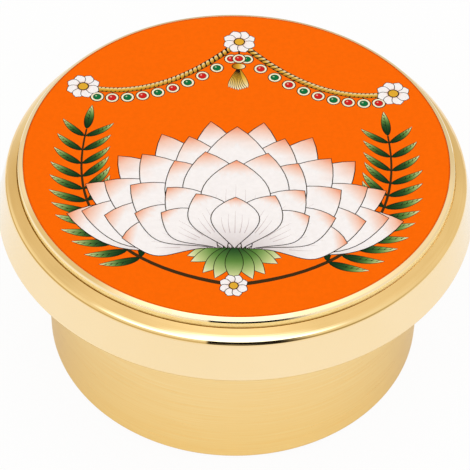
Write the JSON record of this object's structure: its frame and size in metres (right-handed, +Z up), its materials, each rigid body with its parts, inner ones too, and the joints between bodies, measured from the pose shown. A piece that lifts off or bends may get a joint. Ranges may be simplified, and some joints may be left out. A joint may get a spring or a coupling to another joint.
{
  "type": "incense box",
  "caption": "Round brass incense box with a straight brushed base and a wider lift-off lid whose top holds a printed picture panel in a thin bezel.",
  "frame": {"origin": "on the box's axis, on the surface that the foot pad rests on", "axes": "+Z up along the axis; the picture reads upright seen from -Y, with +X to its right"},
  "size_m": [0.08, 0.08, 0.0397],
  "materials": {
    "brushed_brass": "satin, brushed round the axis",
    "polished_brass": "polished and lacquered",
    "felt": "short felt",
    "foam": "matt closed-cell foam",
    "silicone": "satin silicone",
    "aluminium": "mill finish",
    "adhesive": "matt film",
    "picture": "smooth satin print"
  },
  "bodies": {
    "base": {"base_wall": "brushed_brass", "base_floor": "brushed_brass", "base_pad": "foam", "floor_lining": "felt"},
    "seal": {"seal_ring": "silicone"},
    "lid": {"lid_cap": "polished_brass", "lid_collar": "brushed_brass", "lid_lining": "felt", "bezel_ring": "polished_brass", "backing_plate": "aluminium", "adhesive_pad": "adhesive", "picture_disc": "picture"}
  },
  "joints": [
    {"name": "lid_lift", "type": "slide", "parent": "base", "child": "seal", "axis": [0, 0, 1], "range_m": [0, 0.06]},
    {"name": "lid_turn", "type": "hinge", "parent": "seal", "child": "lid", "pos_m": [0, 0, 0.03275], "axis": [0, 0, 1], "continuous": true}
  ]
}
